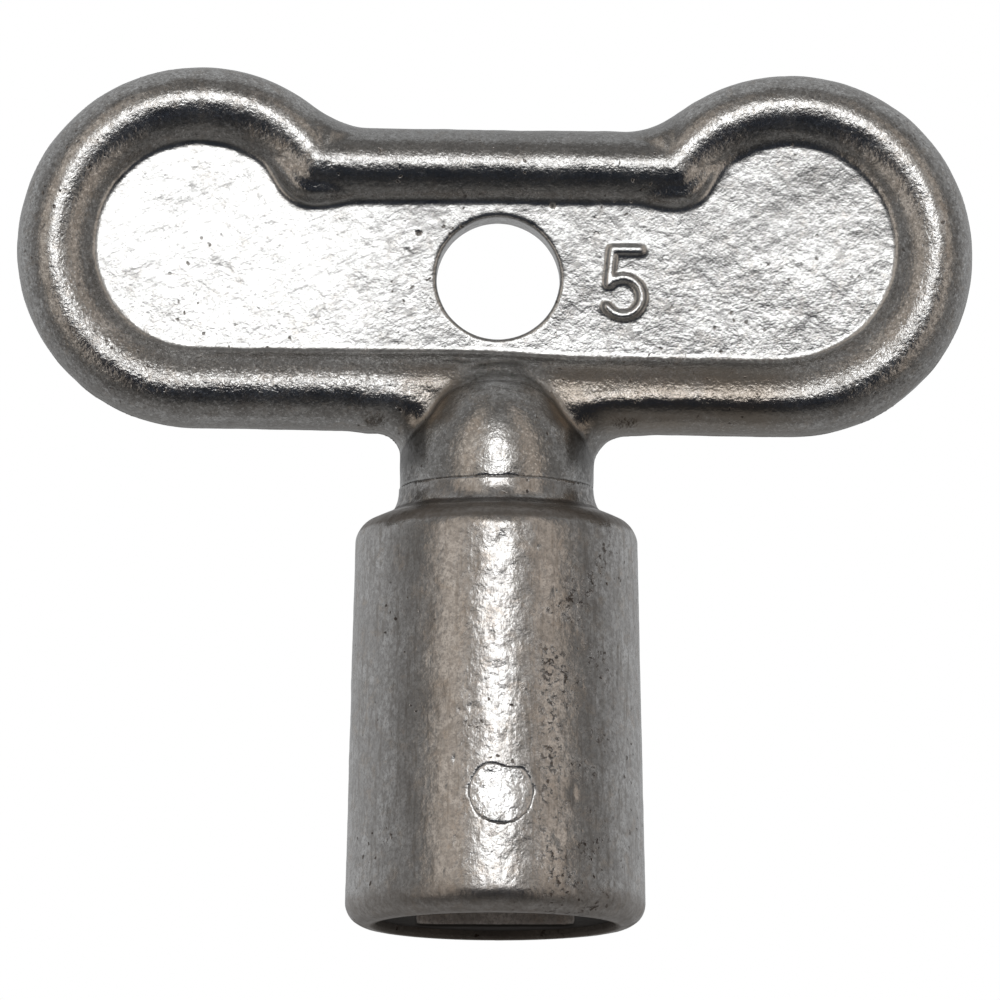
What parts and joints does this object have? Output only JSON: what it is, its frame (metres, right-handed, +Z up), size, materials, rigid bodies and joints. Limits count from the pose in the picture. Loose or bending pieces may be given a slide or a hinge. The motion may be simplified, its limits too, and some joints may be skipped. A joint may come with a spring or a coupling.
{
  "type": "radiator bleed key",
  "caption": "Radiator bleed key: a lobed, bead-rimmed cast bow with a ring hole, on a tapered barrel with a recessed square socket.",
  "frame": {"origin": "centre of the barrel's mouth plane, which is also the bottom centre of the bounding box", "axes": "+Z runs up the barrel's axis from the mouth to the bow, X lies along the bow's width, and -Y is the face with the raised numeral and the pin"},
  "size_m": [0.0318, 0.01, 0.0287],
  "materials": {
    "cast_bow": "satin",
    "cast_barrel": "satin",
    "socket_steel": "satin",
    "pin_steel": "satin"
  },
  "bodies": {
    "root": {"bow_handle": "cast_bow", "barrel": "cast_barrel", "socket_insert": "socket_steel", "locking_pin": "pin_steel"}
  },
  "joints": []
}
